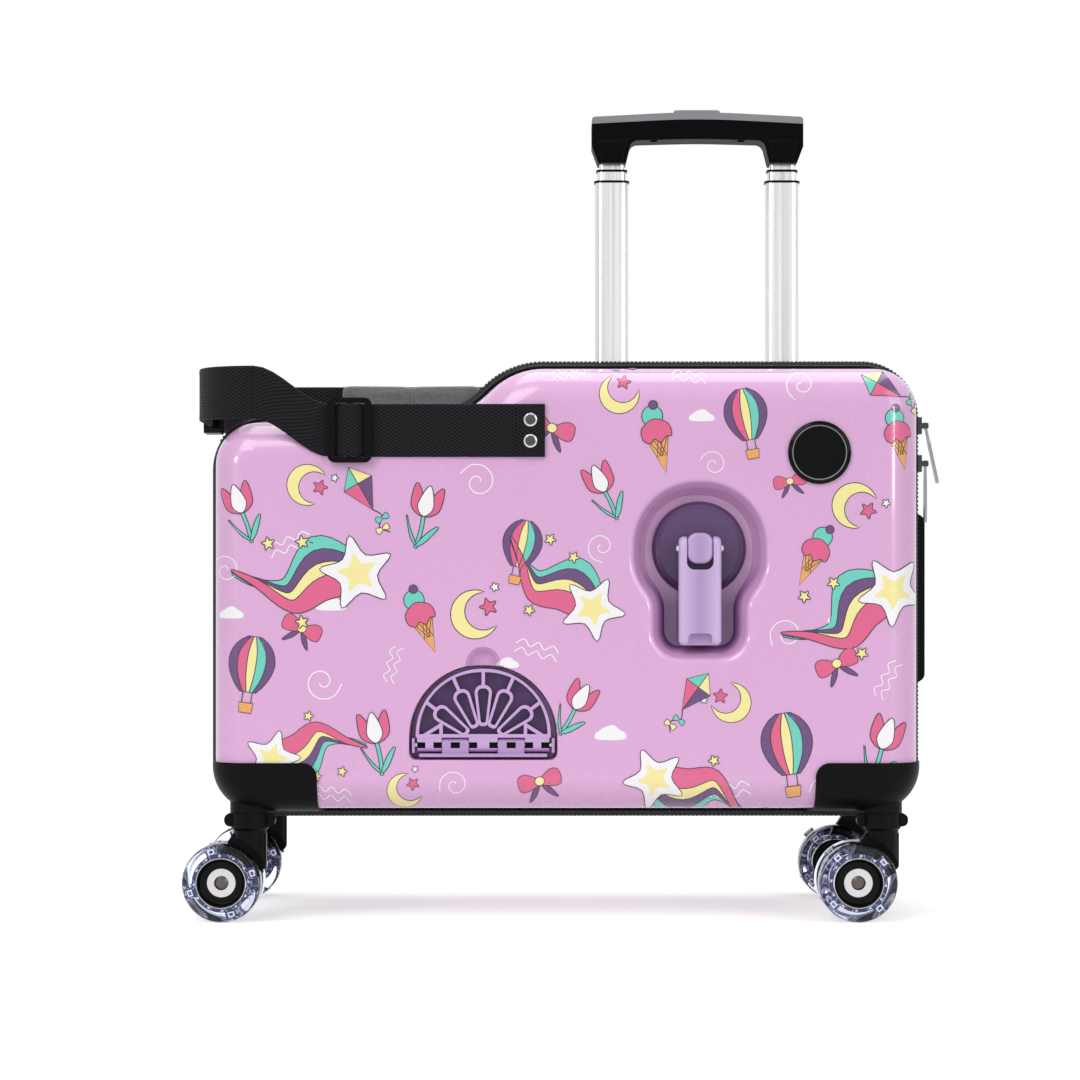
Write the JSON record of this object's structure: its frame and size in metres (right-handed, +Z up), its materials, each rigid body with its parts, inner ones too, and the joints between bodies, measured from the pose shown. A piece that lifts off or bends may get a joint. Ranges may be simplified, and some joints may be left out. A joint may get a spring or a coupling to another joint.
{
  "type": "ride-on suitcase",
  "caption": "Wheeled hard-shell suitcase for a child to ride, with a stepped seat and back belt, fold-out hand grips and footrests, a telescopic pull handle and swivelling casters.",
  "frame": {"origin": "on the floor under the middle of the case", "axes": "+X to the front of the ride, +Z up, -Y to the side with the badge"},
  "size_m": [0.5288, 0.2263, 0.5734],
  "materials": {
    "shell": "gloss",
    "zip_band": "matte",
    "badge": "gloss",
    "black_plastic": "satin",
    "grey_plastic": "satin",
    "tube_metal": "satin",
    "webbing": "woven",
    "pad_mesh": "mesh",
    "dark_purple": "satin",
    "light_purple": "satin",
    "steel": "satin",
    "zip_metal": "gloss",
    "clear_tyre": "gloss"
  },
  "bodies": {
    "far_half": {"far_shell": "shell", "far_rim": "zip_band", "zip_sliders": "zip_metal", "carry_handle": "black_plastic", "trolley_sleeves": "tube_metal", "trolley_bezel": "black_plastic", "belt_far": "webbing", "belt_pad": "pad_mesh", "belt_buckle": "black_plastic", "belt_rear": "webbing", "belt_rivets_far": "steel", "far_handle_disc": "dark_purple", "far_handle_pin": "steel", "far_footrest_frame": "light_purple", "far_footrest_pin": "steel", "far_rear_guard": "black_plastic", "far_front_guard": "black_plastic"},
    "near_half": {"near_shell": "shell", "near_rim": "zip_band", "badge": "badge", "belt_near": "webbing", "belt_slider": "black_plastic", "belt_rivets_near": "steel", "near_handle_disc": "dark_purple", "near_handle_pin": "steel", "near_footrest_frame": "light_purple", "near_footrest_pin": "steel", "near_rear_guard": "black_plastic", "near_front_guard": "black_plastic"},
    "stage_one": {"stage_one_tubes": "tube_metal", "stage_one_collars": "black_plastic"},
    "stage_two": {"stage_two_tubes": "tube_metal", "stage_two_collars": "black_plastic"},
    "stage_three": {"stage_three_tubes": "tube_metal", "trolley_grip": "black_plastic", "trolley_cap": "grey_plastic"},
    "button": {"lock_button": "black_plastic"},
    "zip_pull_upper": {"zip_pull_upper": "zip_metal"},
    "zip_pull_lower": {"zip_pull_lower": "zip_metal"},
    "near_handle": {"near_handle_grip": "light_purple"},
    "near_footrest": {"near_footrest_pedal": "light_purple"},
    "near_rear_caster": {"near_rear_yoke": "black_plastic"},
    "near_rear_wheels": {"near_rear_axle": "steel", "near_rear_hubs": "black_plastic", "near_rear_tyres": "clear_tyre"},
    "near_front_caster": {"near_front_yoke": "black_plastic"},
    "near_front_wheels": {"near_front_axle": "steel", "near_front_hubs": "black_plastic", "near_front_tyres": "clear_tyre"},
    "far_handle": {"far_handle_grip": "light_purple"},
    "far_footrest": {"far_footrest_pedal": "light_purple"},
    "far_rear_caster": {"far_rear_yoke": "black_plastic"},
    "far_rear_wheels": {"far_rear_axle": "steel", "far_rear_hubs": "black_plastic", "far_rear_tyres": "clear_tyre"},
    "far_front_caster": {"far_front_yoke": "black_plastic"},
    "far_front_wheels": {"far_front_axle": "steel", "far_front_hubs": "black_plastic", "far_front_tyres": "clear_tyre"}
  },
  "joints": [
    {"name": "case_hinge", "type": "hinge", "parent": "far_half", "child": "near_half", "pos_m": [-0.2515, 0, 0.22775], "axis": [0, 0, -1], "range_deg": [0, 90], "deforming": ["belt_rear"]},
    {"name": "stage_one_slide", "type": "slide", "parent": "far_half", "child": "stage_one", "axis": [0, 0, 1], "range_m": [-0.131, 0.1]},
    {"name": "stage_two_slide", "type": "slide", "parent": "stage_one", "child": "stage_two", "axis": [0, 0, 1], "range_m": [0, 0.2]},
    {"name": "stage_three_slide", "type": "slide", "parent": "stage_two", "child": "stage_three", "axis": [0, 0, 1], "range_m": [0, 0.2]},
    {"name": "button_press", "type": "slide", "parent": "stage_three", "child": "button", "axis": [0, 0, 1], "range_m": [-0.003, 0], "stiffness_N_per_m": 500},
    {"name": "zip_pull_upper_swing", "type": "hinge", "parent": "far_half", "child": "zip_pull_upper", "pos_m": [0.2572, 0, 0.344], "axis": [0, -1, 0], "range_deg": [0, 120]},
    {"name": "zip_pull_lower_swing", "type": "hinge", "parent": "far_half", "child": "zip_pull_lower", "pos_m": [0.2572, 0, 0.317], "axis": [0, -1, 0], "range_deg": [0, 20]},
    {"name": "near_handle_fold", "type": "hinge", "parent": "near_half", "child": "near_handle", "pos_m": [0.091, -0.1016, 0.255], "axis": [-1, 0, 0], "range_deg": [0, 90]},
    {"name": "near_footrest_fold", "type": "hinge", "parent": "near_half", "child": "near_footrest", "pos_m": [-0.0565, -0.1, 0.121], "axis": [1, 0, 0], "range_deg": [0, 90]},
    {"name": "near_rear_swivel", "type": "hinge", "parent": "near_half", "child": "near_rear_caster", "pos_m": [-0.217, -0.084, 0.0635], "axis": [0, 0, 1], "continuous": true},
    {"name": "near_rear_spin", "type": "hinge", "parent": "near_rear_caster", "child": "near_rear_wheels", "pos_m": [-0.235, -0.084, 0.027], "axis": [0, 1, 0], "continuous": true},
    {"name": "near_front_swivel", "type": "hinge", "parent": "near_half", "child": "near_front_caster", "pos_m": [0.217, -0.084, 0.0635], "axis": [0, 0, 1], "continuous": true},
    {"name": "near_front_spin", "type": "hinge", "parent": "near_front_caster", "child": "near_front_wheels", "pos_m": [0.199, -0.084, 0.027], "axis": [0, 1, 0], "continuous": true},
    {"name": "far_handle_fold", "type": "hinge", "parent": "far_half", "child": "far_handle", "pos_m": [0.091, 0.1016, 0.255], "axis": [1, 0, 0], "range_deg": [0, 90]},
    {"name": "far_footrest_fold", "type": "hinge", "parent": "far_half", "child": "far_footrest", "pos_m": [-0.0565, 0.1, 0.121], "axis": [-1, 0, 0], "range_deg": [0, 90]},
    {"name": "far_rear_swivel", "type": "hinge", "parent": "far_half", "child": "far_rear_caster", "pos_m": [-0.217, 0.084, 0.0635], "axis": [0, 0, 1], "continuous": true},
    {"name": "far_rear_spin", "type": "hinge", "parent": "far_rear_caster", "child": "far_rear_wheels", "pos_m": [-0.235, 0.084, 0.027], "axis": [0, 1, 0], "continuous": true},
    {"name": "far_front_swivel", "type": "hinge", "parent": "far_half", "child": "far_front_caster", "pos_m": [0.217, 0.084, 0.0635], "axis": [0, 0, 1], "continuous": true},
    {"name": "far_front_spin", "type": "hinge", "parent": "far_front_caster", "child": "far_front_wheels", "pos_m": [0.199, 0.084, 0.027], "axis": [0, 1, 0], "continuous": true}
  ]
}
